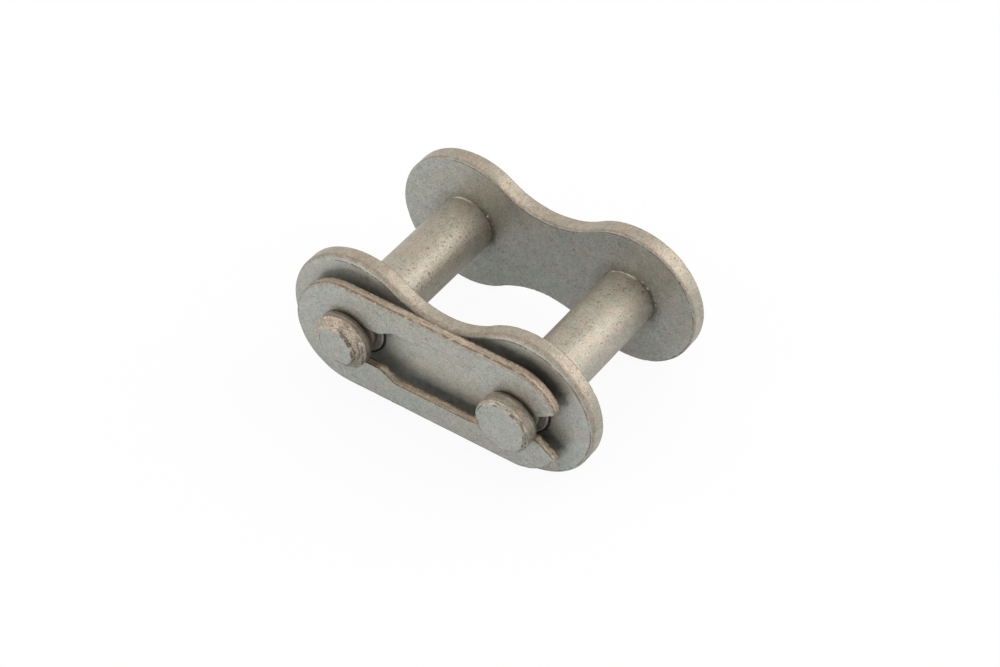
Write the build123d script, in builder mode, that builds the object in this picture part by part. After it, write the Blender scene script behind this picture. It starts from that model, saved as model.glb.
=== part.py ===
from build123d import *
from math import asin, cos, degrees, hypot, radians, sin, sqrt
import os

# Detachable connecting link for a 5/8 inch pitch roller chain (ISO 606 size 10B), millimetres.
# Origin: on the left pin's axis, midway between the two plates.
# +X runs to the right pin, +Y to the riveted back plate and +Z across the plates.

# ---- chain size ----
pitch = 15.875
plate_gap = 13.41
pin_radius = 2.54

# ---- plates ----
plate_thickness = 1.65
back_lobe_radius = 6.45
cover_lobe_radius = 6.6
waist_half_height = 4.05
plate_edge_rounding = 0.25
hole_edge_rounding = 0.1
slip_clearance = 0.03

# ---- grooved pins ----
end_taper = 0.02
shoulder_stand_out = 0.12
groove_radius = 1.88
groove_width = 1.6
head_length = 1.3
turned_edge_rounding = 0.08
left_head_chamfer = (0.8, 0.85)
right_head_chamfer = (0.25, 0.22)

# ---- riveted ends of the pins ----
rivet_stand_out = 1.0
rivet_radius = 2.95
rivet_edge_rounding = 0.55
rivet_dimple_radius = 1.1
rivet_dimple_depth = 0.2

# ---- spring clip ----
clip_thickness = 0.85
clip_half_width = 5.1
clip_head_clearance = 0.12
clip_seat_clearance = 0.07
slot_half_width = 2.8
neck_length = 3.1
flare_length = 1.5
flare_rounding = 0.8
jaw_neck_half_width = 1.25
jaw_land_length = 0.7
jaw_rounding = 1.0
nose_rounding = 0.3
tip_curve_radius = 4.3
tip_curve_offset = 0.15
tip_curve_sweep = 66.7
tip_rounding = 0.2
clip_edge_rounding = 0.18

# ---- places along the pins, measured from mid-link ----
half_gap = plate_gap / 2
outer_face = half_gap + plate_thickness
rivet_end = outer_face + rivet_stand_out
groove_start = outer_face + shoulder_stand_out
head_start = groove_start + groove_width
pin_end = head_start + head_length
clip_front = head_start - clip_head_clearance
clip_back = clip_front - clip_thickness

# ---- radii and centres that follow ----
pin_centres = [(0, 0), (pitch, 0)]
end_radius = pin_radius - end_taper
hole_radius = pin_radius + slip_clearance
clip_seat_radius = groove_radius + clip_seat_clearance
nose_x = pitch + sqrt(clip_seat_radius**2 - jaw_neck_half_width**2)
tip_curve_start = pitch + tip_curve_offset
outer_edge_height = (slot_half_width + clip_half_width * sqrt(0.5)) / 2


def draw_plate_outline(lobe_radius):
    """Two round lobes about the pins, joined above and below by waist arcs tangent to both."""
    half_pitch = pitch / 2
    waist_radius = (half_pitch**2 + waist_half_height**2 - lobe_radius**2) / (
        2 * (lobe_radius - waist_half_height)
    )
    waist_centre = waist_half_height + waist_radius
    reach = hypot(half_pitch, waist_centre)
    join_x = lobe_radius * half_pitch / reach
    join_z = lobe_radius * waist_centre / reach
    ThreePointArc((join_x, join_z), (-lobe_radius, 0), (join_x, -join_z))
    ThreePointArc((join_x, -join_z), (half_pitch, -waist_half_height), (pitch - join_x, -join_z))
    ThreePointArc((pitch - join_x, -join_z), (pitch + lobe_radius, 0), (pitch - join_x, join_z))
    ThreePointArc((pitch - join_x, join_z), (half_pitch, waist_half_height), (join_x, join_z))


def draw_clip_half():
    """Upper half of the clip: closed-end seat, slot, right seat, jaw, tip curve, side and closed end."""
    nose_angle = degrees(asin(jaw_neck_half_width / clip_seat_radius))
    curve_centre_z = clip_half_width - tip_curve_radius
    tip_x = tip_curve_start + tip_curve_radius * sin(radians(tip_curve_sweep))
    tip_z = curve_centre_z + tip_curve_radius * cos(radians(tip_curve_sweep))

    CenterArc((0, 0), clip_seat_radius, 90, 90)
    FilletPolyline(
        (0, clip_seat_radius),
        (neck_length, clip_seat_radius),
        (neck_length + flare_length, slot_half_width),
        (pitch - neck_length - flare_length, slot_half_width),
        (pitch - neck_length, clip_seat_radius),
        (pitch, clip_seat_radius),
        radius=flare_rounding,
    )
    CenterArc((pitch, 0), clip_seat_radius, nose_angle, 90 - nose_angle)
    FilletPolyline(
        (nose_x, jaw_neck_half_width),
        (nose_x + jaw_land_length, jaw_neck_half_width),
        (tip_x, tip_z),
        radius=jaw_rounding,
    )
    CenterArc((tip_curve_start, curve_centre_z), tip_curve_radius, 90 - tip_curve_sweep, tip_curve_sweep)
    Line((tip_curve_start, clip_half_width), (0, clip_half_width))
    CenterArc((0, 0), clip_half_width, 90, 90)


def make_grooved_pin(pin_x, head_chamfer):
    """Pin turned about the axis at pin_x: riveted end, shank, clip groove and chamfered head."""
    chamfer_depth, chamfer_length = head_chamfer
    with BuildPart() as pin:
        with BuildSketch(Plane.XY) as half_section:
            with BuildLine():
                Polyline(
                    (pin_x, rivet_end - rivet_dimple_depth),
                    (pin_x + rivet_dimple_radius, rivet_end),
                    (pin_x + rivet_radius, rivet_end),
                    (pin_x + rivet_radius, outer_face),
                    (pin_x + end_radius, outer_face),
                    (pin_x + pin_radius, half_gap),
                    (pin_x + pin_radius, -half_gap),
                    (pin_x + end_radius, -groove_start),
                    (pin_x + groove_radius, -groove_start),
                    (pin_x + groove_radius, -head_start),
                    (pin_x + end_radius, -head_start),
                    (pin_x + end_radius, -pin_end + chamfer_length),
                    (pin_x + end_radius - chamfer_depth, -pin_end),
                    (pin_x, -pin_end),
                    close=True,
                )
            make_face()
            rivet_rim = half_section.vertices().group_by(Axis.Y)[-1].sort_by(Axis.X)[-1]
            fillet(rivet_rim, rivet_edge_rounding)
            groove_corners = half_section.vertices().filter_by_position(Axis.Y, -head_start, -groove_start)
            fillet(groove_corners, turned_edge_rounding)
        revolve(axis=Axis((pin_x, 0, 0), (0, 1, 0)))
    return pin


os.makedirs("parts", exist_ok=True)

# ---- back plate: the two pins are pressed through it and riveted over ----
with BuildPart() as back_plate:
    with BuildSketch(Plane.XZ.offset(-outer_face)):
        with BuildLine():
            draw_plate_outline(back_lobe_radius)
        make_face()
    extrude(amount=plate_thickness)
    fillet(back_plate.edges(), plate_edge_rounding)
    with BuildSketch(Plane.XZ.offset(-outer_face)):
        with Locations(*pin_centres):
            Circle(pin_radius)
    extrude(amount=plate_thickness, mode=Mode.SUBTRACT)
back_plate.part.label = "back_plate"
export_step(back_plate.part, "parts/back_plate.step")

# ---- pins: the left one ends in a broad chamfer, the right one in a crisp flat end ----
left_pin = make_grooved_pin(0, left_head_chamfer)
left_pin.part.label = "left_pin"
export_step(left_pin.part, "parts/left_pin.step")

right_pin = make_grooved_pin(pitch, right_head_chamfer)
right_pin.part.label = "right_pin"
export_step(right_pin.part, "parts/right_pin.step")

# ---- cover plate: slips over both pins ----
with BuildPart() as cover_plate:
    with BuildSketch(Plane.XZ.offset(half_gap)):
        with BuildLine():
            draw_plate_outline(cover_lobe_radius)
        make_face()
    extrude(amount=plate_thickness)
    fillet(cover_plate.edges(), plate_edge_rounding)
    with BuildSketch(Plane.XZ.offset(half_gap)):
        with Locations(*pin_centres):
            Circle(hole_radius)
    extrude(amount=plate_thickness, mode=Mode.SUBTRACT)
    fillet(cover_plate.faces().sort_by(Axis.Y)[0].inner_wires().edges(), hole_edge_rounding)
cover_plate.part.label = "cover_plate"
export_step(cover_plate.part, "parts/cover_plate.step")

# ---- spring clip: punched from the front, so its slot rounds over behind and its outside in front ----
with BuildPart() as spring_clip:
    with BuildSketch(Plane.XZ.offset(clip_back)) as clip_face:
        with BuildLine():
            draw_clip_half()
            mirror(about=Plane.XZ)
        make_face()
        fillet(clip_face.vertices().group_by(Axis.X)[-1], tip_rounding)
        fillet(clip_face.vertices().filter_by_position(Axis.X, nose_x, nose_x), nose_rounding)
    extrude(amount=clip_thickness)
    front_edges = spring_clip.faces().sort_by(Axis.Y)[0].edges()
    back_edges = spring_clip.faces().sort_by(Axis.Y)[-1].edges()
    fillet(front_edges.filter_by(lambda edge: abs(edge.center().Z) > outer_edge_height), clip_edge_rounding)
    fillet(back_edges.filter_by(lambda edge: abs(edge.center().Z) < outer_edge_height), clip_edge_rounding)
spring_clip.part.label = "spring_clip"
export_step(spring_clip.part, "parts/spring_clip.step")
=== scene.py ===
import math

import bmesh
import bpy
import numpy as np
from mathutils import Matrix, Vector, kdtree, noise
from mathutils.geometry import delaunay_2d_cdt


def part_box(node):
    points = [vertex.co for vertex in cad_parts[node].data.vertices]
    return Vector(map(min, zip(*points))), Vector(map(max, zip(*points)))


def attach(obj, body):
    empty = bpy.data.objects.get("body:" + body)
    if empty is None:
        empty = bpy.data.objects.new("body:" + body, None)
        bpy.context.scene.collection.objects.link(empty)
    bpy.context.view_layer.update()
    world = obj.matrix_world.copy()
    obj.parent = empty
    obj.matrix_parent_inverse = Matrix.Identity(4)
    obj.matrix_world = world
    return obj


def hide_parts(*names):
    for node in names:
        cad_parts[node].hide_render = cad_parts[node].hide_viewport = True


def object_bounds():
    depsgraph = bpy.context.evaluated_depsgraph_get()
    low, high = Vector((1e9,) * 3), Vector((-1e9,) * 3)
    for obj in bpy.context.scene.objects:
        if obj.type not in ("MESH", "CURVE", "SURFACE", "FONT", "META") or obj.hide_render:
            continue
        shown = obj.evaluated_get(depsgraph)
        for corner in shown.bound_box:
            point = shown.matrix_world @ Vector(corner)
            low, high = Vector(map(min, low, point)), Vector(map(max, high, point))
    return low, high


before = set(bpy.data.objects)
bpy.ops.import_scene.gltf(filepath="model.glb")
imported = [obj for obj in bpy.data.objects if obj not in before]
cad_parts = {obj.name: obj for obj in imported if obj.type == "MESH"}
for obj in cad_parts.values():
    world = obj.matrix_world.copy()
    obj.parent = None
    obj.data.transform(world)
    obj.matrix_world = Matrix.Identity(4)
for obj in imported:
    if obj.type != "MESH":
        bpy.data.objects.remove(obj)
cad_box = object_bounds()

MM = 0.001
PHOTO_WIDTH = 1000

# ---- camera, as the photograph was taken ----
AZIMUTH = 34.403
ELEVATION = 43.858
ROLL = 0.369
FOCAL_PIXELS = 2893.4
DISTANCE_MM = 234.348
OFFSET_RIGHT_MM = -0.039
OFFSET_DOWN_MM = -2.291
LINK_CENTRE_MM = Vector((7.9375, 0, 0))
SENSOR_WIDTH = 36.0

# ---- sizes of the solids, millimetres ----
PITCH = 15.875
PIN_RADIUS = 2.54
PIN_END_RADIUS = 2.52
BACK_LOBE_RADIUS = 6.45
COVER_LOBE_RADIUS = 6.6
WAIST_HALF_HEIGHT = 4.05
PLATE_ROUNDING = 0.25
BACK_HOLE_RADIUS = 2.54
COVER_HOLE_RADIUS = 2.57
HOLE_ROUNDING = 0.1
GROOVE_RADIUS = 1.88
GROOVE_ROUNDING = 0.08
GROOVE_START = -8.475
HEAD_START = -10.075
RIVET_RADIUS = 2.95
RIVET_ROUNDING = 0.55
DIMPLE_RADIUS = 1.1
DIMPLE_DEPTH = 0.2
DIMPLE_ROUNDING = 0.1
RIGHT_CHAMFER = (0.25, 0.22)
SEAT_RADIUS = 1.95
CLIP_HALF_WIDTH = 5.1
SLOT_HALF_WIDTH = 2.8
NECK_LENGTH = 3.1
FLARE_LENGTH = 1.5
FLARE_ROUNDING = 0.8
JAW_HALF_WIDTH = 1.25
JAW_LAND = 0.7
JAW_ROUNDING = 1.0
NOSE_ROUNDING = 0.3
TIP_CURVE_RADIUS = 4.3
TIP_CURVE_OFFSET = 0.15
TIP_CURVE_SWEEP = 66.7
TIP_ROUNDING = 0.2
CLIP_ROUNDING = 0.18

# ---- sizes that follow the photograph more closely than the solids do, millimetres ----
CRISP_EDGE = 0.14
SHOULDER_BEVEL = (0.14, 0.1)
LEFT_CHAMFER = (0.8, 0.55)  # depth and length, as in RIGHT_CHAMFER
RIGHT_NECK_LENGTH = 2.3
RIGHT_FLARE_LENGTH = 1.1

# ---- how finely the meshes are cut, millimetres and degrees ----
STEP = 0.1
CRISP = 0.02
ROUND_STEPS = 6
RIM_STEPS = 12
FACE_GRIDS = ((0.07, 0.5), (0.14, 1.0), (0.25, 99.0))  # spacing, and how far from an edge it goes
GRID_MARGIN = 0.6
PIN_SIDES = 240
HEAD_STEP = 0.06
SHANK_STEP = 0.25
SHARP_ANGLE = 38

# ---- uneven and worn edges of the plates and the clip, millimetres ----
LINE_TURN = 0.6
UNEVEN_ROUNDING = 0.05
UPPER_ROUNDING = 0.12
UPPER_SIDE = (-1, 3)
ROLL_DEPTH = 0.1
ROLL_REACH = 1.4
RIB_DEPTH = 0.005
WAVE_DEPTH = 0.01
LINED_SIDE = (0.89, 0.45)  # direction (x, z)
CLIP_UNEVEN_ROUNDING = 0.03
TORN_BORDER = 0.05
TORN_SWAY = 0.5
TORN_DEPTH = 0.02
LAYER_DEPTH = 0.009

# ---- dents: how many to a millimetre of edge or to a face, their radii and their depths ----
EDGE_DENT_INSET = 0.1
RIM_DENT_SPAN = 0.8
PLATE_EDGE_DENTS = (1.1, (0.1, 0.3), (0.005, 0.03))
PLATE_RIM_DENTS = (1.0, (0.1, 0.25), (0.005, 0.016))
PLATE_FACE_DENTS = (90, (0.2, 0.55), (0.004, 0.012))
CLIP_EDGE_DENTS = (1.0, (0.08, 0.22), (0.006, 0.028))
CLIP_RIM_DENTS = (0.8, (0.08, 0.2), (0.006, 0.02))
CLIP_FACE_DENTS = (60, (0.2, 0.5), (0.004, 0.012))

# ---- painted shade about the pins and the clip, and painted light in the clip's slot: from where to where it fades, millimetres from what holds it, and how dense it is ----
FACE_SKIN = 0.15
CLIP_SKIN = 0.1
COVER_HOLE_SHADE = (0.03, 0.22)
BACK_HOLE_SHADE = (0.03, 1.3)
BACK_HOLE_SHADE_STRENGTH = 0.4
FOOT_SHADE = (0.1, 0.8)
FOOT_RAGGED = ((0.2, 3.0), (0.25, 3.2))  # depth and waves about the pin, and on the face
FOOT_SHADE_STRENGTH = 0.8
FOOT_SHADE_ANGLE = 75
UNDER_CLIP_SHADE = (-0.1, 0.5)
UNDER_CLIP_SHADE_STRENGTH = 0.9
CLOSED_END_LOSS = 0.45
CLOSED_END_FADE = (3, 8)
SLOT_LOSS = 0.5
SLOT_ENDS = ((2.5, 3.5), (12, 13.5))
SLOT_LIGHT_FADE = (0.3, 1.0)
HEAD_SHADE = (-0.1, 0.55)
HEAD_RAGGED = ((0.25, 2.6), (0.1, 3.0))

# ---- beads of spatter at the pins' feet, painted bright as highlights, millimetres and degrees ----
BEADS = 26
SPATTER_ANGLE = 47
SPATTER_SPREAD = (-32, 34)
SPATTER_REACH = (0.1, 0.75)
BEAD_RADII = (0.07, 0.15)
BEAD_HEIGHT = 0.5
BEAD_HIGHLIGHT = 0.8
BEAD_HIGHLIGHT_LINE = 0.65

# ---- wear on the pins, and painted shade and highlights about their heads, grooves and feet, millimetres and degrees ----
LEAN_ANGLE = 50
TORN_ANGLE = 85
CROP_SWAY = 0.1
CROP_WAVES = 0.07
CROP_TEETH = 0.03
CRACK_WIDTH = 0.06
CHIP_STRENGTH = 0.8
SIDE_WEAR = 0.3
EDGE_LINE_WIDTH = 0.08
SECOND_LINE = (0.2, 0.12, 0.05)  # offset, sway and width
SHADED_CONTOUR_WIDTH = 0.06
BURR_ANGLE = -12
BURR_LENGTH = 0.2
BURR_HEIGHT = 0.08
PIN_FOOT_SHADE = (1.1, 0.1)
SHANK_WEAR = 0.004
GROOVE_HIGHLIGHT_BAND = 0.2
GROOVE_SHADE_STRENGTH = 0.9
HIGHLIGHT_BAND_CLEARING = 0.7
BEHIND_HEAD_SHADE_SPAN = (0.38, 0.12)
BEHIND_HEAD_SHADE_STRENGTH = 0.6
BELOW_HEAD_SHADE_ANGLE = 125
BELOW_HEAD_SHADE_STRENGTH = 0.4

# ---- light: where the lamps are, and how bright the floor looks to the camera and in the metal ----
KEY_DIRECTION = (0.58, 0.6, 0.54)
FILL_DIRECTION = (-0.5, -0.7, 0.5)
FLOOR_GLOW_TO_CAMERA = 0.93
FLOOR_GLOW_TO_METAL = 0.15

# ---- colours, linear ----
WHITE = (1.0, 1.0, 1.0, 1.0)
MID_GREY = (0.5, 0.5, 0.5, 1.0)
FLOOR_COLOUR = (0.76, 0.82, 0.88, 1.0)
STUDIO_WARM = (1.0, 0.94, 0.85, 1.0)
FACE_GREY = (0.395, 0.403, 0.381, 1.0)
FACE_WARM = (0.42, 0.405, 0.365, 1.0)
RIM_BEIGE = (0.39, 0.363, 0.32, 1.0)
SHANK_BEIGE = (0.402, 0.37, 0.328, 1.0)
CLIP_RIM = (0.42, 0.37, 0.31, 1.0)
TORN_BROWN = (0.22, 0.15, 0.10, 1.0)
PIT_DARK = (0.12, 0.11, 0.09, 1.0)
LINE_DARK = (0.08, 0.065, 0.05, 1.0)
# colour of painted highlight lines, on the clip's slot edges, the beads and the pins' burrs
LINE_HIGHLIGHT = (0.60, 0.55, 0.47, 1.0)
COPPER = (0.36, 0.22, 0.15, 1.0)
CROPPED_BEIGE = (0.52, 0.47, 0.40, 1.0)
# colour of painted shade in gaps and corners, on the plates and the pins
SHADE_BLACK = (0.02, 0.02, 0.02, 1.0)
BRINK_BROWN = (0.15, 0.10, 0.07, 1.0)
TURNED_BROWN = (0.27, 0.21, 0.15, 1.0)
TINT_GREEN = (0.97, 1.008, 1.0, 1.0)
TINT_PINK = (1.03, 0.992, 0.985, 1.0)

# ---- steel: how strong each part of its look is ----
METALLIC = 0.78
GRAIN_SHADES = (0.66, 1.34)
MOTTLE_SHADES = (0.86, 1.14)
RIM_SPECKS = 0.6
SPECK_STRENGTH = 0.65
RIM_COPPER = 0.6
EDGE_DARKENING = 0.12
# painted highlights on the clip's slot-side rims
HIGHLIGHT_BRIGHTENING = 0.3
# painted light on the cover's face in the clip's slot
SLOT_LIGHT_BRIGHTENING = 0.22
LINE_BREAKS = 1.2
NICK_STRENGTH = 0.3
RIM_DULLING = 0.14
STAIN_DULLING = 0.15
BUMP_DEPTH = 0.02
STREAK_HEIGHT = 1.2


def add_object(name, data):
    """A new object in the scene."""
    result = bpy.data.objects.new(name, data)
    bpy.context.scene.collection.objects.link(result)
    return result


def aim_camera():
    """Puts the camera where the photograph's was, with its roll and its lens."""
    azimuth = math.radians(AZIMUTH)
    elevation = math.radians(ELEVATION)
    roll = math.radians(ROLL)
    right = Vector((math.cos(azimuth), math.sin(azimuth), 0))
    back = Vector((
        math.sin(azimuth) * math.cos(elevation),
        -math.cos(azimuth) * math.cos(elevation),
        math.sin(elevation),
    ))
    up = back.cross(right)
    camera_x = right * math.cos(roll) + up * math.sin(roll)
    camera_y = up * math.cos(roll) - right * math.sin(roll)
    place = LINK_CENTRE_MM - camera_x * OFFSET_RIGHT_MM + camera_y * OFFSET_DOWN_MM + back * DISTANCE_MM
    data = bpy.data.cameras.new("camera")
    data.sensor_fit = "HORIZONTAL"
    data.sensor_width = SENSOR_WIDTH
    data.lens = FOCAL_PIXELS * SENSOR_WIDTH / PHOTO_WIDTH
    data.clip_start = 0.01
    data.clip_end = 10
    camera = add_object("camera", data)
    turn = Matrix((camera_x, camera_y, back)).transposed().to_4x4()
    camera.matrix_world = Matrix.Translation(place * MM) @ turn
    bpy.context.scene.camera = camera


# ---- outlines: points (x, z) in millimetres, with the metal on the left of the way they run ----
def arc_points(centre, radius, start, end):
    """Points along an arc between two angles in degrees. The last point is left to what follows."""
    sweep = math.radians(end - start)
    count = max(2, math.ceil(abs(sweep) * radius / STEP))
    angles = math.radians(start) + sweep * np.arange(count) / count
    return np.column_stack((centre[0] + radius * np.cos(angles), centre[1] + radius * np.sin(angles)))


def line_points(start, end, step=STEP):
    start = np.array(start, float)
    end = np.array(end, float)
    count = max(1, math.ceil(np.linalg.norm(end - start) / step))
    return start + (end - start) * (np.arange(count) / count)[:, None]


def unit(vector):
    return vector / np.linalg.norm(vector)


def angle_of(vector):
    return math.degrees(math.atan2(vector[1], vector[0]))


def rounded_line(corners, radii, step=STEP):
    """Straight runs with rounded corners, from the first corner to just short of the last."""
    corners = [np.array(corner, float) for corner in corners]
    runs = []
    start = corners[0]
    for before, corner, after, radius in zip(corners, corners[1:], corners[2:], radii):
        to_before = unit(before - corner)
        to_after = unit(after - corner)
        half = math.acos(np.clip(to_before @ to_after, -1, 1)) / 2
        centre = corner + unit(to_before + to_after) * radius / math.sin(half)
        first = corner + to_before * radius / math.tan(half)
        last = corner + to_after * radius / math.tan(half)
        turn = (angle_of(last - centre) - angle_of(first - centre) + 180) % 360 - 180
        runs.append(line_points(start, first, step))
        runs.append(arc_points(centre, radius, angle_of(first - centre), angle_of(first - centre) + turn))
        start = last
    runs.append(line_points(start, corners[-1], step))
    return np.concatenate(runs)


def plate_outline(lobe_radius):
    """Two round lobes about the pins, joined above and below by waist arcs tangent to both."""
    half_pitch = PITCH / 2
    waist_radius = (half_pitch**2 + WAIST_HALF_HEIGHT**2 - lobe_radius**2) / (
        2 * (lobe_radius - WAIST_HALF_HEIGHT)
    )
    waist_centre = WAIST_HALF_HEIGHT + waist_radius
    join = math.degrees(math.atan2(waist_centre, half_pitch))
    return np.concatenate((
        arc_points((PITCH, 0), lobe_radius, join - 180, 180 - join),
        arc_points((half_pitch, waist_centre), waist_radius, -join, join - 180),
        arc_points((0, 0), lobe_radius, join, 360 - join),
        arc_points((half_pitch, -waist_centre), waist_radius, 180 - join, join),
    ))


def hole_outline(x, radius):
    return arc_points((x, 0), radius, 360, 0)


def clip_outline():
    """The clip's whole edge, and for each point its distance along the edge from the nearer tip.
    The distance is above 0 on the outside and below 0 in the slot and jaws."""
    nose_height = JAW_HALF_WIDTH + NOSE_ROUNDING
    nose_reach = math.sqrt((SEAT_RADIUS + NOSE_ROUNDING) ** 2 - nose_height**2)
    nose_centre = (PITCH + nose_reach, nose_height)
    nose_angle = math.degrees(math.atan2(nose_height, nose_reach))

    curve_centre = np.array((PITCH + TIP_CURVE_OFFSET, CLIP_HALF_WIDTH - TIP_CURVE_RADIUS))
    land_x = PITCH + math.sqrt(SEAT_RADIUS**2 - JAW_HALF_WIDTH**2) + JAW_LAND
    land_end = np.array((land_x, JAW_HALF_WIDTH))
    sweep = math.radians(TIP_CURVE_SWEEP)
    tip = curve_centre + TIP_CURVE_RADIUS * np.array((math.sin(sweep), math.cos(sweep)))
    flank = unit(tip - land_end)
    inward = np.array((-flank[1], flank[0]))
    offset = land_end + inward * TIP_ROUNDING - curve_centre
    along = -(offset @ flank) + math.sqrt(
        (offset @ flank) ** 2 - offset @ offset + (TIP_CURVE_RADIUS - TIP_ROUNDING) ** 2
    )
    tip_centre = land_end + inward * TIP_ROUNDING + flank * along
    flank_end = land_end + flank * along
    curve_start = angle_of(tip_centre - curve_centre)
    flank_angle = angle_of(-inward)

    inside = np.concatenate((
        arc_points((0, 0), SEAT_RADIUS, 180, 90),
        rounded_line(
            (
                (0, SEAT_RADIUS),
                (NECK_LENGTH, SEAT_RADIUS),
                (NECK_LENGTH + FLARE_LENGTH, SLOT_HALF_WIDTH),
                (PITCH - RIGHT_NECK_LENGTH - RIGHT_FLARE_LENGTH, SLOT_HALF_WIDTH),
                (PITCH - RIGHT_NECK_LENGTH, SEAT_RADIUS),
                (PITCH, SEAT_RADIUS),
            ),
            (FLARE_ROUNDING,) * 4,
        ),
        arc_points((PITCH, 0), SEAT_RADIUS, 90, nose_angle),
        arc_points(nose_centre, NOSE_ROUNDING, 180 + nose_angle, 270),
        rounded_line(((nose_centre[0], JAW_HALF_WIDTH), land_end, flank_end), (JAW_ROUNDING,)),
        arc_points(tip_centre, TIP_ROUNDING, flank_angle, (flank_angle + curve_start) / 2),
    ))
    outside = np.concatenate((
        arc_points(tip_centre, TIP_ROUNDING, (flank_angle + curve_start) / 2, curve_start),
        arc_points(curve_centre, TIP_CURVE_RADIUS, curve_start, 90),
        line_points((curve_centre[0], CLIP_HALF_WIDTH), (0, CLIP_HALF_WIDTH)),
        arc_points((0, 0), CLIP_HALF_WIDTH, 90, 180),
        [(-CLIP_HALF_WIDTH, 0)],
    ))
    upper = np.concatenate((inside, outside))
    runs = np.linalg.norm(np.diff(upper, axis=0), axis=1)
    travel = np.concatenate(([0], np.cumsum(runs)))
    travel -= travel[len(inside)]
    lower = upper[-2:0:-1] * (1, -1)
    return np.concatenate((upper, lower)), np.concatenate((travel, travel[-2:0:-1]))


def outward(points):
    """The unit normals that point out of the metal."""
    along = np.roll(points, -1, axis=0) - np.roll(points, 1, axis=0)
    along /= np.linalg.norm(along, axis=1)[:, None]
    return np.column_stack((along[:, 1], -along[:, 0]))


def inside_loops(points, loops):
    """Which points are in the metal: inside an odd number of the loops."""
    odd = np.zeros(len(points), bool)
    for loop in loops:
        for start, end in zip(loop, np.roll(loop, -1, axis=0)):
            if start[1] == end[1]:
                continue
            spans = (start[1] > points[:, 1]) != (end[1] > points[:, 1])
            cross = start[0] + (points[:, 1] - start[1]) * (end[0] - start[0]) / (end[1] - start[1])
            odd ^= spans & (points[:, 0] < cross)
    return odd


def distances(points, outline):
    """How far each point (x, z) is from the nearest point of an outline."""
    tree = kdtree.KDTree(len(outline))
    for index, (x, z) in enumerate(outline):
        tree.insert((x, z, 0), index)
    tree.balance()
    return np.array([tree.find((x, z, 0))[2] for x, z in points])


def grid_points(loops):
    """Points that fill the metal between the loops, closest together along the edges."""
    edge = np.concatenate(loops)
    low = edge.min(0)
    high = edge.max(0)
    kept = []
    nearest = 0.0
    for spacing, reach in FACE_GRIDS:
        rows = np.arange(low[1], high[1], spacing * math.sqrt(0.75))
        grid = np.array([
            (x, z)
            for number, z in enumerate(rows)
            for x in np.arange(low[0] + spacing / 2 * (number % 2), high[0], spacing)
        ])
        distance = distances(grid, edge)
        kept.append(grid[(distance > max(nearest, GRID_MARGIN * spacing)) & (distance <= reach)])
        nearest = reach
    kept = np.concatenate(kept)
    return kept[inside_loops(kept, loops)]


def wobble(places, per_mm, seed):
    """Smooth noise of about -1 to 1 at places in millimetres."""
    shift = Vector((seed, 2.3 * seed, -1.7 * seed))
    return np.array([noise.noise(Vector(place) * per_mm + shift) for place in places])


def ease(value, low, high):
    """0 below low, 1 above high and smooth between them."""
    share = np.clip((value - low) / (high - low), 0, 1)
    return share * share * (3 - 2 * share)


class Shell:
    """The points of a piece being built, in millimetres, with its normals and marks at each point."""

    def __init__(self):
        self.count = 0
        self.parts = {}
        self.faces = []

    def add(self, places, normals, **marks):
        first = self.count
        self.count += len(places)
        for name, values in (("places", places), ("normals", normals)):
            self.parts.setdefault(name, []).append(np.broadcast_to(values, (len(places), 3)))
        for name, values in marks.items():
            self.parts.setdefault(name, []).append(np.broadcast_to(values, len(places)))
        return np.arange(first, self.count)

    def join(self, rings):
        """Faces between each ring and the next one."""
        for here, there in zip(rings, rings[1:]):
            self.faces.extend(zip(here, there, np.roll(there, -1), np.roll(here, -1)))

    def close(self):
        """Joins what was added, so that the wear can work on it."""
        for name, arrays in self.parts.items():
            setattr(self, name, np.concatenate(arrays).astype(float))
        self.nick = np.zeros(self.count)

    def wear(self, depth):
        """Takes metal off, to a depth that is given at each point."""
        self.places -= self.normals * depth[:, None]

    def dent(self, centre, direction, radius, depth):
        """Presses in one small round dent."""
        distance = np.linalg.norm(self.places - centre, axis=1)
        near = distance < radius
        share = (1 - (distance[near] / radius) ** 2) ** 2
        self.places[near] += np.outer(share * depth, direction)
        self.nick[near] = np.maximum(self.nick[near], share)

    def piece(self, node, marks):
        """A smooth mesh object for a node, with the marks as attributes for its material."""
        name = node + "_steel"
        data = bpy.data.meshes.new(name)
        data.from_pydata((self.places * MM).tolist(), [], [tuple(face) for face in self.faces])
        for mark in marks:
            attribute = data.attributes.new(mark, "FLOAT", "POINT")
            attribute.data.foreach_set("value", getattr(self, mark).astype(np.float32))
        surface = bmesh.new()
        surface.from_mesh(data)
        bmesh.ops.recalc_face_normals(surface, faces=surface.faces)
        surface.to_mesh(data)
        surface.free()
        data.polygons.foreach_set("use_smooth", np.ones(len(data.polygons), bool))
        data.set_sharp_from_angle(angle=math.radians(SHARP_ANGLE))
        return add_object(name, data)


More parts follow.
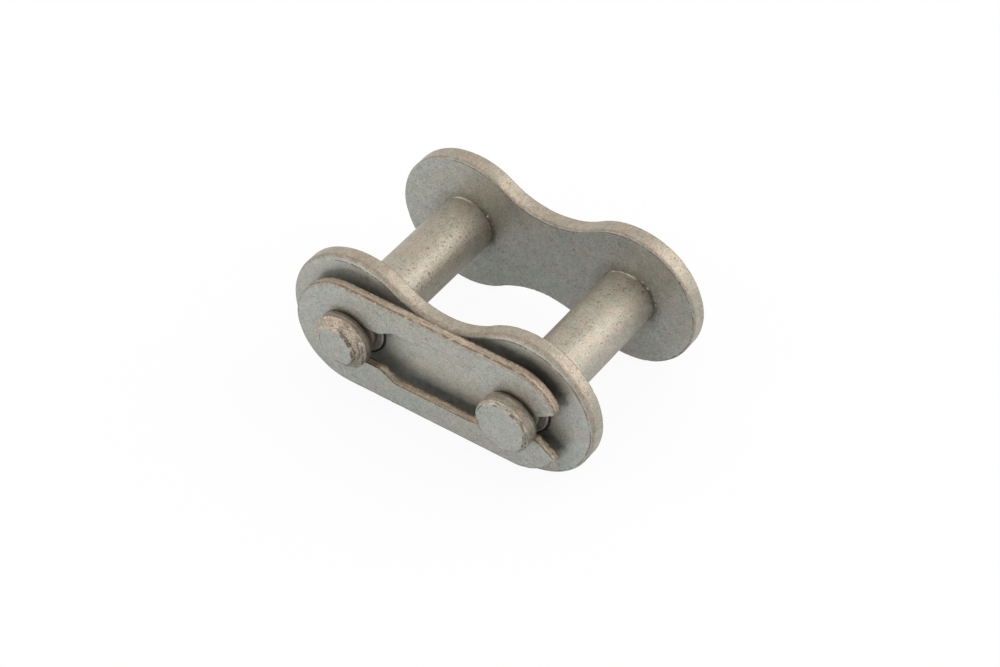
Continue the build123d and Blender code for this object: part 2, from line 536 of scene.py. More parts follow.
class Slab(Shell):
    """A flat piece with rounded edges: rings about each outline, and a filled face on each side."""

    def __init__(self, low, high):
        super().__init__()
        self.front = low.y / MM
        self.back = high.y / MM
        self.loops = []

    def near_front(self, depth):
        """Which points lie within a depth of the front face."""
        return self.places[:, 1] < self.front + depth

    def add_ring(self, points, normals, inset, y, turn, side, **marks):
        """One ring at an angle of turn round the edge, 0 on a face and a right angle on the rim."""
        edge = points - normals * inset[:, None]
        tilt = np.insert(normals * math.sin(turn), 1, math.copysign(math.cos(turn), side), axis=1)
        places = np.insert(edge, 1, y, axis=1)
        line = max(0.0, 1 - turn / LINE_TURN)
        return self.add(places, tilt, rim=math.sin(turn) ** 2, line=line, side=side, **marks)

    def add_loop(self, points, front_rounding, back_rounding, **marks):
        """The rings about one outline, from the front face over its edge to the back face."""
        normals = outward(points)
        front_rounding = np.broadcast_to(front_rounding, len(points))
        back_rounding = np.broadcast_to(back_rounding, len(points))
        turns = [math.pi / 2 * step / ROUND_STEPS for step in range(ROUND_STEPS + 1)]
        rings = []
        for turn in turns:
            inset = front_rounding * (1 - math.sin(turn))
            y = self.front + front_rounding * (1 - math.cos(turn))
            rings.append(self.add_ring(points, normals, inset, y, turn, -1.0, **marks))
        for step in range(1, RIM_STEPS):
            share = step / RIM_STEPS
            start = self.front + front_rounding
            y = start + (self.back - back_rounding - start) * share
            rings.append(self.add_ring(points, normals, 0 * y, y, math.pi / 2, 2 * share - 1, **marks))
        for turn in reversed(turns):
            inset = back_rounding * (1 - math.sin(turn))
            y = self.back - back_rounding * (1 - math.cos(turn))
            rings.append(self.add_ring(points, normals, inset, y, turn, 1.0, **marks))
        self.join(rings)
        self.loops.append((points, rings, marks))

    def fill(self):
        """Both flat faces."""
        for side, y, ring_number in ((-1.0, self.front, 0), (1.0, self.back, -1)):
            rings = [loop[1][ring_number] for loop in self.loops]
            places = np.concatenate(self.parts["places"])
            outlines = [places[ring][:, (0, 2)] for ring in rings]
            inner = grid_points(outlines)
            flat = {name: 0.0 for name in ("rim", "line", *self.loops[0][2])}
            inner_ring = self.add(np.insert(inner, 1, y, axis=1), (0, side, 0), side=side, **flat)
            indices = np.concatenate((*rings, inner_ring))
            points = np.concatenate((*outlines, inner))
            edges = []
            first = 0
            for outline in outlines:
                span = np.arange(first, first + len(outline))
                edges.extend(zip(span.tolist(), np.roll(span, -1).tolist()))
                first += len(outline)
            result = delaunay_2d_cdt([Vector(point) for point in points], edges, [], 0, 1e-9)
            origins = np.array([origin[0] for origin in result[3]])
            corners = origins[np.array(result[2])]
            corners = corners[inside_loops(points[corners].mean(1), outlines)]
            if side > 0:
                corners = corners[:, ::-1]
            self.faces.extend(indices[corners].tolist())

    def scatter(self, rng, per_mm, sizes, depths, kind):
        """Dents along the first outline: on its edges, or on the rim between them."""
        points = self.loops[0][0]
        normals = outward(points)
        length = np.linalg.norm(points - np.roll(points, 1, axis=0), axis=1).sum()
        for _ in range(int(length * per_mm)):
            index = rng.integers(len(points))
            across = rng.uniform(-RIM_DENT_SPAN, RIM_DENT_SPAN) if kind == "rim" else rng.choice((-1.0, 1.0))
            radius = rng.uniform(*sizes)
            depth = rng.uniform(*depths)
            middle = (self.front + self.back) / 2
            half = (self.back - self.front) / 2
            out = np.array((normals[index][0], 0, normals[index][1]))
            centre = np.array((points[index][0], middle + across * half, points[index][1]))
            direction = -out
            if kind == "edge":
                direction = -(out + (0, across, 0)) / math.sqrt(2)
                centre = centre + direction * EDGE_DENT_INSET
            self.dent(centre, direction, radius, depth)

    def scatter_on_faces(self, rng, per_face, sizes, depths):
        """Shallow dings all over both faces."""
        low = self.places.min(0)
        high = self.places.max(0)
        for side, y in ((-1.0, self.front), (1.0, self.back)):
            for _ in range(per_face):
                centre = np.array((rng.uniform(low[0], high[0]), y, rng.uniform(low[2], high[2])))
                self.dent(centre, (0, -side, 0), rng.uniform(*sizes), rng.uniform(*depths))


def make_plate(node, lobe_radius, hole_radius, hole_rounding, front_rounding, rolled, paint_light_and_shade, seed):
    """A stamped and tumbled plate: its sheared rim is finely ribbed, and its edges are knocked about."""
    rng = np.random.default_rng(seed)
    slab = Slab(*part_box(node))
    outline = plate_outline(lobe_radius)
    front = front_rounding + UPPER_ROUNDING * rolled * ease(outline[:, 1], *UPPER_SIDE)
    front += UNEVEN_ROUNDING * wobble(np.insert(outline, 1, 0, axis=1), 0.6, seed)
    back = PLATE_ROUNDING + UNEVEN_ROUNDING * wobble(np.insert(outline, 1, 9, axis=1), 0.6, seed)
    lined = ease(outward(outline) @ LINED_SIDE, -0.3, 0.35)
    slab.add_loop(outline, front, back, worn=1.0, bright=0.0, lined=lined)
    for x in (0, PITCH):
        hole = hole_outline(x, hole_radius)
        slab.add_loop(hole, hole_rounding, CRISP, worn=0.0, bright=0.0, lined=1.0)
    slab.fill()
    slab.close()
    slab.line *= slab.lined
    roll_over(slab, outline, rolled, seed)
    ribs = wobble(slab.places * (1, 0.15, 1), 3.4, seed)
    waves = wobble(slab.places * (1, 0.4, 1), 0.45, seed)
    slab.wear(slab.rim * slab.worn * (RIB_DEPTH * (1 + ribs) + WAVE_DEPTH * (1 + waves)))
    slab.scatter(rng, *PLATE_EDGE_DENTS, "edge")
    slab.scatter(rng, *PLATE_RIM_DENTS, "rim")
    slab.scatter_on_faces(rng, *PLATE_FACE_DENTS)
    slab.brink = slab.rim * ease(-slab.side, 0.6, 0.95) * slab.worn
    # paints shade about the pins, and on the cover along the clip and light in the clip's slot
    paint_light_and_shade(slab, rng)
    return slab.piece(node, ("rim", "brink", "grime", "line", "nick", "bright", "clean"))


def roll_over(slab, outline, rolled, seed):
    """Bends the front face back towards the outline, as a punch draws it down before it shears."""
    distance = distances(slab.places[:, (0, 2)], outline)
    sway = 1 + 0.5 * wobble(slab.places * (1, 0, 1), 0.22, seed)
    uneven = ease(slab.places[:, 2], *UPPER_SIDE) * sway
    depth = ROLL_DEPTH * rolled * uneven * np.clip(1 - distance / ROLL_REACH, 0, 1) ** 2
    slab.places[:, 1] += depth * (1 - slab.side) / 2


def shade_back_plate(slab, rng):
    """Painted shade about the pins' holes and on one side of their feet, and spatter."""
    about_holes = hole_grime(slab, BACK_HOLE_RADIUS, BACK_HOLE_SHADE)
    at_feet = side_grime(slab, FOOT_SHADE, FOOT_RAGGED, FOOT_SHADE_ANGLE, (0.4, 0.85), 7)
    slab.grime = np.maximum(BACK_HOLE_SHADE_STRENGTH * about_holes, FOOT_SHADE_STRENGTH * at_feet)
    slab.grime *= slab.near_front(FACE_SKIN)
    slab.clean = np.zeros(slab.count)
    spatter(slab, rng)


def light_and_shade_cover_plate(slab, _):
    """Painted shade about the pins and along the clip, and painted light on the face seen through the clip's
    slot.
    """
    flat = slab.places[:, (0, 2)]
    outline = clip_outline()[0]
    distance = distances(flat, outline)
    # painted light: the face seen through the clip's slot is made lighter
    slab.clean = in_slot(flat) * ease(distance, *SLOT_LIGHT_FADE) * slab.near_front(FACE_SKIN)
    slab.grime = hole_grime(slab, COVER_HOLE_RADIUS, COVER_HOLE_SHADE)
    slab.grime = np.maximum(slab.grime, UNDER_CLIP_SHADE_STRENGTH * clip_grime(slab, distance, outline))
    slab.grime *= slab.near_front(FACE_SKIN)


def about_pin(places, x):
    """How far each place is from a pin's axis, and which way it lies from there, as (x, z, 0)."""
    offset = places - (x, 0, 0)
    distance = np.hypot(offset[:, 0], offset[:, 2])
    return distance, np.column_stack((offset[:, 0], offset[:, 2], 0 * distance)) / distance[:, None]


def facing(around, angle):
    """How far each direction round a pin is turned to an angle, from 0 at the top to 90 at +X."""
    return around @ (math.sin(math.radians(angle)), math.cos(math.radians(angle)), 0)


def hole_grime(slab, hole_radius, reach):
    """Painted shade in the corner between each pin and the front face."""
    grime = np.zeros(slab.count)
    for x in (0, PITCH):
        distance = about_pin(slab.places, x)[0]
        grime = np.maximum(grime, 1 - ease(distance, hole_radius + reach[0], hole_radius + reach[1]))
    return grime


def side_grime(slab, reach, ragged, angle, fade, seed):
    """Painted shade on one side of each pin, out to a ragged line."""
    (turn_depth, turns), (depth, per_mm) = ragged
    grime = np.zeros(slab.count)
    for x in (0, PITCH):
        distance, around = about_pin(slab.places, x)
        sway = turn_depth * wobble(around, turns, x + seed) + depth * wobble(slab.places, per_mm, x + seed)
        spread = 1 - ease(distance, PIN_RADIUS + reach[0], PIN_RADIUS + reach[1] + sway)
        grime = np.maximum(grime, spread * ease(facing(around, angle), *fade))
    return grime


def clip_grime(slab, distance, outline):
    """Painted shade on the cover's front face, along the clip's edges and under it."""
    flat = slab.places[:, (0, 2)]
    distance = np.where(inside_loops(flat, [outline]), 0, distance) * (1 + SLOT_LOSS * in_slot(flat))
    at_closed_end = 1 - ease(slab.places[:, 0], *CLOSED_END_FADE)
    ragged = 0.15 * wobble(slab.places, 1.7, 3) + CLOSED_END_LOSS * at_closed_end
    return 1 - ease(distance + ragged, *UNDER_CLIP_SHADE)


def in_slot(flat):
    """Which points (x, z) are seen through the clip's slot."""
    between_ends = ease(flat[:, 0], *SLOT_ENDS[0]) * (1 - ease(flat[:, 0], *SLOT_ENDS[1]))
    return (np.abs(flat[:, 1]) < SLOT_HALF_WIDTH) * between_ends


def spatter(slab, rng):
    """Small beads thrown on the face by the pressing of the pins, painted bright as highlights."""
    for x in (0, PITCH):
        for _ in range(BEADS):
            angle = math.radians(SPATTER_ANGLE + rng.uniform(*SPATTER_SPREAD))
            reach = PIN_RADIUS + SPATTER_REACH[0] + SPATTER_REACH[1] * rng.uniform(0, 1) ** 1.5
            centre = np.array((x + reach * math.sin(angle), slab.front, reach * math.cos(angle)))
            radius = rng.uniform(*BEAD_RADII)
            distance = np.linalg.norm(slab.places - centre, axis=1)
            share = np.clip(1 - (distance / radius) ** 2, 0, 1)
            slab.places[:, 1] -= share * radius * BEAD_HEIGHT
            # the beads are painted bright, as highlights
            slab.bright = np.maximum(slab.bright, BEAD_HIGHLIGHT * np.sqrt(share))
            slab.line = np.maximum(slab.line, BEAD_HIGHLIGHT_LINE * np.sqrt(share))


def make_clip(node, seed):
    """The spring clip: rolled over on one edge of each sheared side, and torn rough on the other."""
    rng = np.random.default_rng(seed)
    slab = Slab(*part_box(node))
    points, from_tip = clip_outline()
    outside = ease(from_tip, -0.3, 0.3)
    uneven = CLIP_UNEVEN_ROUNDING * wobble(np.insert(points, 1, 0, axis=1), 0.8, seed)
    rounding = CLIP_ROUNDING - CRISP + uneven
    # the slot side gets painted highlights: lighter rims and bright lines along its edges
    slab.add_loop(
        points,
        CRISP + rounding * outside,
        CRISP + rounding * (1 - outside),
        outside=outside,
        bright=1 - outside,
    )
    slab.fill()
    slab.close()
    border = TORN_BORDER + TORN_SWAY * wobble(slab.places * (1, 0, 1), 0.9, seed)
    torn = slab.rim * ease(slab.side * (2 * slab.outside - 1) - border, 0, 0.25)
    layers = wobble(slab.places * (0.35, 5.0, 0.35), 1.0, seed)
    slab.brink = slab.rim * ease(np.abs(slab.side), 0.55, 0.95)
    # painted shade on the clip's face beside each pin's head
    at_heads = side_grime(slab, HEAD_SHADE, HEAD_RAGGED, LEAN_ANGLE, (-0.1, 0.6), 0)
    slab.grime = at_heads * slab.near_front(CLIP_SKIN)
    slab.wear(torn * TORN_DEPTH + slab.rim * LAYER_DEPTH * (1 + layers))
    slab.scatter(rng, *CLIP_EDGE_DENTS, "edge")
    slab.scatter(rng, *CLIP_RIM_DENTS, "rim")
    slab.scatter_on_faces(rng, *CLIP_FACE_DENTS)
    return slab.piece(node, ("rim", "brink", "grime", "line", "nick", "bright"))


def pin_profile(chamfer, front, back, plate_back, half_gap):
    """Half of a pin's section, as points (radius, y) from the middle of its head to its riveted end."""
    depth, length = chamfer
    head = rounded_line(
        (
            (STEP, front),
            (PIN_END_RADIUS - depth, front),
            (PIN_END_RADIUS, front + length),
            (PIN_END_RADIUS, HEAD_START),
            (GROOVE_RADIUS, HEAD_START),
            (GROOVE_RADIUS, GROOVE_START),
            (PIN_END_RADIUS - SHOULDER_BEVEL[0], GROOVE_START),
            (PIN_END_RADIUS, GROOVE_START + SHOULDER_BEVEL[1]),
            (PIN_RADIUS, -half_gap),
        ),
        (CRISP, CRISP, CRISP, GROOVE_ROUNDING, CRISP, CRISP, CRISP),
        HEAD_STEP,
    )
    shank = line_points((PIN_RADIUS, -half_gap), (PIN_RADIUS, half_gap - BURR_LENGTH), SHANK_STEP)
    foot = rounded_line(
        (
            (PIN_RADIUS, half_gap - BURR_LENGTH),
            (PIN_RADIUS, half_gap),
            (PIN_END_RADIUS, plate_back),
            (RIVET_RADIUS, plate_back),
            (RIVET_RADIUS, back),
            (DIMPLE_RADIUS, back),
            (STEP, back - DIMPLE_DEPTH * (1 - STEP / DIMPLE_RADIUS)),
        ),
        (CRISP, CRISP, CRISP, RIVET_ROUNDING, DIMPLE_ROUNDING),
        HEAD_STEP,
    )
    return np.concatenate((head, shank, foot))


def make_pin(node, x, chamfer, lean, roughness, seed):
    """A turned pin. Its head is cropped to an uneven chamfer, and its foot has a burr against the plate."""
    low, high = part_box(node)
    front = low.y / MM
    back = high.y / MM
    half_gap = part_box("back_plate")[0].y / MM
    plate_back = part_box("back_plate")[1].y / MM
    profile = pin_profile(chamfer, front, back, plate_back, half_gap)
    shell = turn_profile(x, profile, front, back - DIMPLE_DEPTH)
    crop_head(shell, front, chamfer, lean, roughness, seed)
    wear_shank(shell, half_gap, seed)
    shell.end = np.maximum(shell.end, (shell.places[:, 1] > plate_back + 0.02) * 1.0)
    shade_groove_and_head(shell)
    return shell.piece(node, ("end", "turned", "line", "nick", "chamfer", "scar", "groove", "foot", "burr"))


def turn_profile(x, profile, front_middle, back_middle):
    """The profile turned about a pin's axis, and closed by a point in the middle of each end."""
    along = np.gradient(profile, axis=0)
    along /= np.linalg.norm(along, axis=1)[:, None]
    angles = 2 * math.pi * np.arange(PIN_SIDES) / PIN_SIDES
    circle = np.column_stack((np.sin(angles), np.cos(angles)))
    shell = Shell()
    rings = []
    for (radius, y), (along_radius, along_y) in zip(profile, along):
        places = np.insert(radius * circle + (x, 0), 1, y, axis=1)
        normals = np.insert(along_y * circle, 1, -along_radius, axis=1)
        rings.append(shell.add(places, normals, radius=radius, angle=angles))
    shell.join(rings)
    for y, ring in ((front_middle, rings[0]), (back_middle, rings[-1])):
        middle = shell.add([(x, y, 0)], (0, math.copysign(1, y), 0), radius=0.0, angle=0.0)
        shell.faces.extend(zip(ring, np.roll(ring, -1), np.broadcast_to(middle, PIN_SIDES)))
    shell.close()
    shell.around = np.column_stack((np.sin(shell.angle), np.cos(shell.angle), 0 * shell.angle))
    return shell


def crop_head(shell, front, chamfer, lean, roughness, seed):
    """Crops the rim of the pin's head to an uneven chamfer, torn open on its right side."""
    depth, length = chamfer
    around = shell.around
    y = shell.places[:, 1].copy()
    head = y < HEAD_START - 0.05
    flat_radius = PIN_END_RADIUS - depth - lean * facing(around, LEAN_ANGLE)
    flat_radius += CROP_SWAY * wobble(around, 1.1, seed) + CROP_WAVES * wobble(around, 3.2, seed + 5)
    flat_radius += CROP_TEETH * wobble(around, 9.0, seed + 6)
    beyond = shell.radius - flat_radius
    cropped = ease(beyond, -0.03, 0.06) * head
    side = ease(y, front + length - 0.05, front + length + 0.1) * head
    shell.scar = head_scars(shell, seed) * cropped * (1 - side)
    rough = wobble(shell.places, 2.2, seed) + wobble(shell.places, 5.0, seed)
    slope = length / (PIN_END_RADIUS - flat_radius)
    cut = np.maximum(0, beyond) * slope + cropped * roughness * (1 + rough + 1.5 * shell.scar)
    shell.places[head, 1] = np.maximum(front + cut, y)[head]
    sunk = side * SIDE_WEAR + shell.scar * roughness
    shell.places[head] -= (shell.normals * (roughness * sunk * (1 + rough))[:, None])[head]
    shell.chamfer = cropped * (1 - side) * ease(length, 0, 0.7)
    shell.turned = np.maximum(side, cropped)
    to_right = ease(facing(around, LEAN_ANGLE), 0, 0.5)
    to_left = 1 - ease(facing(around, LEAN_ANGLE), -0.4, 0.1)
    # a painted shade line along the lower left of the flat end's edge
    beyond_solid = shell.radius - np.minimum(flat_radius, PIN_END_RADIUS - depth)
    shaded_contour = np.exp(-((beyond_solid / SHADED_CONTOUR_WIDTH) ** 2)) * to_left
    shell.line = head * edge_lines(shell, beyond, seed) * (1 - side) * to_right
    shell.line = np.maximum(shell.line, head * shaded_contour)
    shell.end = (1 - cropped) * (y < front + 0.01)


def head_scars(shell, seed):
    """Cracks and chips that run round the right side of a head."""
    torn = ease(facing(shell.around, TORN_ANGLE), -0.1, 0.5)
    circled = np.column_stack((shell.around[:, :2] * 1.3, shell.radius * 4.5))
    cracks = np.exp(-((wobble(circled, 1.0, seed + 3) / CRACK_WIDTH) ** 2))
    cracks *= ease(wobble(shell.places, 1.6, seed + 4), -0.1, 0.15)
    chips = ease(wobble(circled, 1.6, seed + 7), 0.15, 0.4)
    return np.maximum(cracks, CHIP_STRENGTH * chips) * torn


def edge_lines(shell, beyond, seed):
    """Two broken lines: one along the edge of a head's flat end, and one that strays just outside it."""
    offset, sway, width = SECOND_LINE
    second = offset + sway * wobble(shell.around, 2.0, seed + 8)
    lines = np.exp(-((beyond / EDGE_LINE_WIDTH) ** 2)) + np.exp(-(((beyond - second) / width) ** 2))
    lines *= ease(wobble(shell.places, 2.6, seed + 2), -0.3, 0.15)
    return np.minimum(lines, 1)


def wear_shank(shell, half_gap, seed):
    """The burr and the painted shade at the pin's foot, and a slightly uneven shank."""
    y = shell.places[:, 1]
    around = shell.around
    foot = ease(y, half_gap - BURR_LENGTH, half_gap) ** 2 * (y < half_gap + 0.02)
    ragged = 0.75 + 0.6 * wobble(around, 2.2, seed + 9) + 0.5 * wobble(around, 7.0, seed)
    # the burr's colour is painted bright in its material, as a highlight
    shell.burr = foot * np.clip(ragged, 0, 1.1) * ease(facing(around, BURR_ANGLE), 0.72, 0.95)
    uneven = ease(wobble(shell.places, 1.5, seed + 12), -0.5, 0.3)
    # painted shade on the upper right of the shank at its foot
    shell.foot = ease(y, half_gap - PIN_FOOT_SHADE[0], half_gap - PIN_FOOT_SHADE[1]) * (y < half_gap + 0.02) * uneven
    shell.foot *= ease(facing(around, LEAN_ANGLE), -0.2, 0.6) * (1 - 0.6 * shell.burr)
    shell.wear(-BURR_HEIGHT * shell.burr)
    shank = np.abs(y) < half_gap - 0.3
    shell.wear(shank * SHANK_WEAR * (1 + wobble(shell.places, 1.2, seed)))


def shade_groove_and_head(shell):
    """Painted shade in the clip's groove, in the cover's gap, and behind and under the head, with a lighter
    band in the groove where the highlight shows.
    """
    y = shell.places[:, 1]
    in_groove = (y > HEAD_START - 0.02) & (y < GROOVE_START + SHOULDER_BEVEL[1] + 0.1)
    middle = (HEAD_START + 2 * GROOVE_START) / 3
    streak = np.exp(-(((y - middle) / GROOVE_HIGHLIGHT_BAND) ** 2))
    at_bottom = 1 - ease(shell.radius, GROOVE_RADIUS, GROOVE_RADIUS + 0.05)
    at_rim = ease(shell.radius, PIN_END_RADIUS - 0.12, PIN_END_RADIUS - 0.02)
    shell.groove = in_groove * at_bottom * (GROOVE_SHADE_STRENGTH - HIGHLIGHT_BAND_CLEARING * streak)
    shell.groove += in_groove * (y > GROOVE_START) * at_rim
    behind = ease(y, HEAD_START - BEHIND_HEAD_SHADE_SPAN[0], HEAD_START - BEHIND_HEAD_SHADE_SPAN[1]) * (y < HEAD_START + 0.02)
    shell.groove += behind * ease(facing(shell.around, LEAN_ANGLE), 0, 0.5) * BEHIND_HEAD_SHADE_STRENGTH
    below = ease(facing(shell.around, BELOW_HEAD_SHADE_ANGLE), 0.55, 0.95) * (y < HEAD_START - 0.05)
    shell.groove += BELOW_HEAD_SHADE_STRENGTH * below * shell.turned * (1 - behind)


class Tree:
    """A material's nodes, with short calls for the kinds used here. Lengths are in millimetres."""

    def __init__(self, material):
        material.use_nodes = True
        self.nodes = material.node_tree.nodes
        self.links = material.node_tree.links
        self.shader = self.nodes["Principled BSDF"]
        self.output = self.nodes["Material Output"]
        coordinates = self.add("ShaderNodeTexCoord")
        self.point = self.scale(coordinates.outputs["Object"], 1 / MM)

    def add(self, kind, **settings):
        node = self.nodes.new(kind)
        for name, value in settings.items():
            setattr(node, name, value)
        return node

    def put(self, value, socket):
        if isinstance(value, bpy.types.NodeSocket):
            self.links.new(value, socket)
        else:
            socket.default_value = value

    def math(self, operation, *values, kind="ShaderNodeMath"):
        node = self.add(kind, operation=operation)
        for value, socket in zip(values, node.inputs):
            self.put(value, socket)
        return node.outputs[0]

    def times(self, first, *others):
        for other in others:
            first = self.math("MULTIPLY", first, other)
        return first

    def vector_math(self, operation, *values):
        return self.math(operation, *values, kind="ShaderNodeVectorMath")

    def mark(self, name):
        return self.add("ShaderNodeAttribute", attribute_name=name).outputs["Fac"]

    def noise(self, point, per_mm, detail=2.0, roughness=0.5):
        node = self.add("ShaderNodeTexNoise")
        self.put(point, node.inputs["Vector"])
        node.inputs["Scale"].default_value = per_mm
        node.inputs["Detail"].default_value = detail
        node.inputs["Roughness"].default_value = roughness
        return node.outputs["Fac"]

    def rise(self, value, low, high):
        """0 below low, 1 above high and smooth between them."""
        node = self.add("ShaderNodeMapRange", interpolation_type="SMOOTHSTEP")
        self.put(value, node.inputs["Value"])
        node.inputs["From Min"].default_value = low
        node.inputs["From Max"].default_value = high
        return node.outputs["Result"]

    def spread(self, value, low, high):
        """A noise of 0 to 1 as a factor from low to high."""
        node = self.add("ShaderNodeMapRange")
        self.put(value, node.inputs["Value"])
        node.inputs["From Min"].default_value = 0.25
        node.inputs["From Max"].default_value = 0.75
        node.inputs["To Min"].default_value = low
        node.inputs["To Max"].default_value = high
        return node.outputs["Result"]

    def mix(self, factor, first, second):
        node = self.add("ShaderNodeMix", data_type="RGBA")
        self.put(factor, node.inputs["Factor"])
        self.put(first, node.inputs[6])
        self.put(second, node.inputs[7])
        return node.outputs[2]

    def scale(self, vector, factor):
        node = self.add("ShaderNodeVectorMath", operation="SCALE")
        self.put(vector, node.inputs[0])
        self.put(factor, node.inputs["Scale"])
        return node.outputs[0]


def make_steel(
    name, worked, streaks, brink, line, stains_and_painted_light,
    flat=FACE_GREY, worked_mark="rim", streaked_mark="rim", gloss=(0.26, 0.38), pitted=0.38,
):
    """Dull tumbled steel: cool speckled faces, warmer streaked rims and a broken dark line between them.

    Streaks have a scale along each axis and a contrast. Stains have a mark, a strength and a colour; some
    are real stains, and others are painted shade and painted highlights."""
    material = bpy.data.materials.new(name)
    tree = Tree(material)
    point = tree.point
    rim = tree.mark("rim")
    streaked = tree.mark(streaked_mark)

    # base colours, stains, and painted shade and highlights
    warmth = tree.rise(tree.noise(point, 0.16), 0.35, 0.7)
    colour = tree.mix(warmth, flat, FACE_WARM)
    colour = tree.mix(tree.mark(worked_mark), colour, worked)
    for mark, strength, stain_colour in stains_and_painted_light:
        colour = tree.mix(tree.times(tree.mark(mark), strength), colour, stain_colour)

    # streaks, grain, mottling and slight changes of hue
    along, contrast = streaks
    streak = tree.noise(tree.vector_math("MULTIPLY", point, along), 1.0, 3.0, 0.7)
    streaking = tree.mix(streaked, MID_GREY, streak)
    colour = tree.scale(colour, tree.spread(streaking, 1 - contrast, 1 + contrast))
    grain = tree.noise(point, 9.0, 2.0, 0.75)
    colour = tree.scale(colour, tree.spread(grain, *GRAIN_SHADES))
    mottle = tree.noise(point, 1.4, 4.0, 0.65)
    colour = tree.scale(colour, tree.spread(mottle, *MOTTLE_SHADES))
    hue = tree.rise(tree.noise(point, 0.9, 3.0, 0.6), 0.4, 0.6)
    colour = tree.vector_math("MULTIPLY", colour, tree.mix(hue, TINT_GREEN, TINT_PINK))

    # pits and flecks all over, and specks on the rims and chamfers
    pits = tree.rise(tree.noise(point, 6.5, 1.0), 0.6, 0.78)
    colour = tree.mix(tree.times(pits, pitted), colour, PIT_DARK)
    clusters = tree.rise(tree.noise(point, 0.4), 0.44, 0.64)
    flecks = tree.times(tree.rise(tree.noise(point, 3.6, 2.0, 0.6), 0.56, 0.68), clusters)
    colour = tree.mix(tree.times(flecks, pitted), colour, PIT_DARK)
    specks = tree.rise(tree.noise(point, 6.0, 3.0, 0.7), 0.44, 0.62)
    speckled = tree.math("MULTIPLY_ADD", rim, RIM_SPECKS * brink, tree.mark("chamfer"))
    colour = tree.mix(tree.times(speckled, specks, SPECK_STRENGTH), colour, TORN_BROWN)

    # edges: a little darker on the bend, painted lighter as highlights on the clip's slot side, brown and
    # coppery in patches
    edge = tree.times(rim, tree.math("SUBTRACT", 1.0, rim), 4.0)
    colour = tree.scale(colour, tree.math("MULTIPLY_ADD", edge, -EDGE_DARKENING, 1.0))
    lit = tree.times(tree.mark("bright"), streaked, HIGHLIGHT_BRIGHTENING)
    colour = tree.scale(colour, tree.math("ADD", lit, 1.0))
    # painted light on the cover's face in the clip's slot
    clean = tree.mark("clean")
    colour = tree.scale(colour, tree.math("MULTIPLY_ADD", clean, SLOT_LIGHT_BRIGHTENING, 1.0))
    ragged = tree.rise(tree.noise(point, 3.0, 3.0, 0.7), 0.34, 0.54)
    browned = tree.times(tree.mark("brink"), ragged, brink)
    colour = tree.mix(browned, colour, BRINK_BROWN)
    copper = tree.rise(tree.noise(point, 1.6, 3.0, 0.6), 0.56, 0.7)
    coppered = tree.times(copper, rim, RIM_COPPER * brink)
    colour = tree.mix(coppered, colour, COPPER)

    # broken lines, dark ones and painted highlight lines, with painted shade along the lower left of the
    # pins' heads among the dark ones, and soiled dents
    breaks = tree.noise(point, 0.9, 5.0, 0.75)
    uneven = tree.math("SUBTRACT", breaks, 0.5)
    width = tree.math("MULTIPLY_ADD", uneven, LINE_BREAKS, tree.mark("line"))
    stain = tree.times(tree.rise(width, 0.4, 0.75), tree.rise(breaks, 0.36, 0.5))
    line_colour = tree.mix(tree.mark("bright"), LINE_DARK, LINE_HIGHLIGHT)
    colour = tree.mix(tree.times(stain, line), colour, line_colour)
    soiled = tree.rise(tree.noise(point, 2.5), 0.45, 0.6)
    nicks = tree.times(tree.rise(tree.mark("nick"), 0.3, 0.9), soiled, NICK_STRENGTH)
    colour = tree.mix(nicks, colour, LINE_DARK)
    tree.put(colour, tree.shader.inputs["Base Color"])

    # metal, gloss and relief
    tree.shader.inputs["Metallic"].default_value = METALLIC
    bent = tree.math("ADD", rim, edge)
    dulled = tree.math("MULTIPLY_ADD", bent, RIM_DULLING, tree.spread(grain, *gloss))
    roughness = tree.math("ADD", dulled, tree.times(stain, STAIN_DULLING))
    tree.put(roughness, tree.shader.inputs["Roughness"])
    bump = tree.add("ShaderNodeBump")
    bump.inputs["Strength"].default_value = 1.0
    bump.inputs["Distance"].default_value = BUMP_DEPTH * MM
    ridges = tree.times(streak, streaked, STREAK_HEIGHT)
    height = tree.math("SUBTRACT", tree.math("ADD", grain, ridges), pits)
    tree.put(height, bump.inputs["Height"])
    tree.put(bump.outputs["Normal"], tree.shader.inputs["Normal"])
    return material


def place(piece, node, body, slot, material):
    """Puts a piece in a node's stead, on its body."""
    piece.data.materials.append(material)
    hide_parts(node)
    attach(piece, body)


def make_floor():
    """A white sheet under the link, wide enough to reach out of every view."""
    height = cad_box[0].z
    reach = 3.0
    data = bpy.data.meshes.new("floor")
    corners = [(-1, -1), (1, -1), (1, 1), (-1, 1)]
    data.from_pydata([(x * reach, y * reach, height) for x, y in corners], [], [(0, 1, 2, 3)])
    floor = add_object("floor", data)
    material = bpy.data.materials.new("floor_white")
    tree = Tree(material)
    tree.shader.inputs["Base Color"].default_value = FLOOR_COLOUR
    tree.shader.inputs["Roughness"].default_value = 0.9
    tree.shader.inputs["Specular IOR Level"].default_value = 0.0
    glow = tree.add("ShaderNodeEmission")
    glow.inputs["Strength"].default_value = 1.0
    seen = tree.add("ShaderNodeLightPath")
    to_camera = tree.times(seen.outputs["Is Camera Ray"], FLOOR_GLOW_TO_CAMERA)
    to_metal = tree.times(seen.outputs["Is Glossy Ray"], FLOOR_GLOW_TO_METAL)
    share = tree.math("ADD", to_camera, to_metal)
    blend = tree.add("ShaderNodeMixShader")
    tree.put(share, blend.inputs[0])
    tree.put(tree.shader.outputs[0], blend.inputs[1])
    tree.put(glow.outputs[0], blend.inputs[2])
    tree.put(blend.outputs[0], tree.output.inputs["Surface"])
    data.materials.append(material)


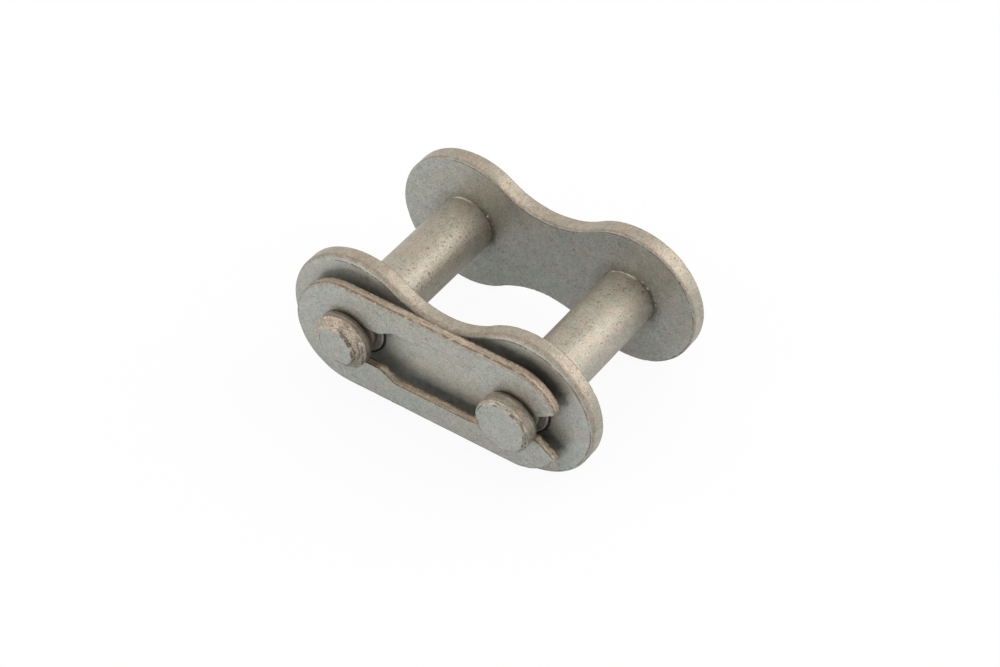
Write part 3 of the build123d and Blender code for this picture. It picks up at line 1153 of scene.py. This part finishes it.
def make_world():
    """A plain studio all round: white where the camera sees it, and slightly warm where it lights."""
    world = bpy.data.worlds.new("studio")
    world.use_nodes = True
    nodes = world.node_tree.nodes
    links = world.node_tree.links
    background = nodes["Background"]
    background.inputs["Strength"].default_value = 1.0
    path = nodes.new("ShaderNodeLightPath")
    blend = nodes.new("ShaderNodeMix")
    blend.data_type = "RGBA"
    blend.inputs[6].default_value = STUDIO_WARM
    blend.inputs[7].default_value = WHITE
    links.new(path.outputs["Is Camera Ray"], blend.inputs["Factor"])
    links.new(blend.outputs[2], background.inputs["Color"])
    bpy.context.scene.world = world


def make_lamp(name, direction, distance, size, watts, colour):
    data = bpy.data.lights.new(name, "AREA")
    data.shape = "SQUARE"
    data.size = size
    data.energy = watts
    data.color = colour
    lamp = add_object(name, data)
    towards = Vector(direction).normalized()
    lamp.location = LINK_CENTRE_MM * MM + towards * distance
    lamp.rotation_mode = "QUATERNION"
    lamp.rotation_quaternion = towards.to_track_quat("Z", "Y")


plate_steel = make_steel(
    "plate_steel",
    worked=RIM_BEIGE,
    streaks=((2.6, 0.9, 2.6), 0.12),
    brink=0.4,
    line=0.65,
    # painted shade about the pins and along the clip
    stains_and_painted_light=(("grime", 0.7, SHADE_BLACK),),
)
pin_steel = make_steel(
    "pin_steel",
    flat=SHANK_BEIGE,
    worked=FACE_GREY,
    worked_mark="end",
    streaked_mark="turned",
    streaks=((1.2, 6.0, 1.2), 0.4),
    gloss=(0.36, 0.58),
    brink=0.0,
    line=0.7,
    pitted=0.62,
    # the groove and foot marks are painted shade, and the burr is painted bright as a highlight
    stains_and_painted_light=(
        ("turned", 0.3, TURNED_BROWN),
        ("chamfer", 0.5, CROPPED_BEIGE),
        ("scar", 0.7, LINE_DARK),
        ("groove", 0.9, SHADE_BLACK),
        ("foot", 0.4, TURNED_BROWN),
        ("burr", 0.7, LINE_HIGHLIGHT),
    ),
)
clip_steel = make_steel(
    "clip_steel",
    worked=CLIP_RIM,
    streaks=((0.6, 5.0, 0.6), 0.5),
    brink=0.85,
    line=0.35,
    # painted shade on the clip's face beside the pins' heads
    stains_and_painted_light=(("grime", 0.75, LINE_DARK),),
)

back_plate = make_plate(
    "back_plate",
    BACK_LOBE_RADIUS,
    BACK_HOLE_RADIUS,
    hole_rounding=CRISP,
    front_rounding=CRISP_EDGE,
    rolled=0.2,
    paint_light_and_shade=shade_back_plate,
    seed=11,
)
cover_plate = make_plate(
    "cover_plate",
    COVER_LOBE_RADIUS,
    COVER_HOLE_RADIUS,
    hole_rounding=HOLE_ROUNDING,
    front_rounding=PLATE_ROUNDING,
    rolled=1.0,
    paint_light_and_shade=light_and_shade_cover_plate,
    seed=23,
)
left_pin = make_pin("left_pin", 0, LEFT_CHAMFER, lean=0.4, roughness=0.05, seed=37)
right_pin = make_pin("right_pin", PITCH, RIGHT_CHAMFER, lean=0.22, roughness=0.02, seed=41)
spring_clip = make_clip("spring_clip", seed=53)

place(back_plate, "back_plate", "link", "plate_steel", plate_steel)
place(left_pin, "left_pin", "link", "pin_steel", pin_steel)
place(right_pin, "right_pin", "link", "pin_steel", pin_steel)
place(cover_plate, "cover_plate", "cover", "plate_steel", plate_steel)
place(spring_clip, "spring_clip", "clip", "clip_steel", clip_steel)

make_floor()
make_world()
make_lamp("key", KEY_DIRECTION, distance=0.35, size=0.3, watts=0.5, colour=(1.0, 0.94, 0.86))
make_lamp("fill", FILL_DIRECTION, distance=0.4, size=0.45, watts=0.44, colour=(1.0, 0.99, 0.975))
aim_camera()

bpy.context.scene.view_settings.view_transform = "Standard"
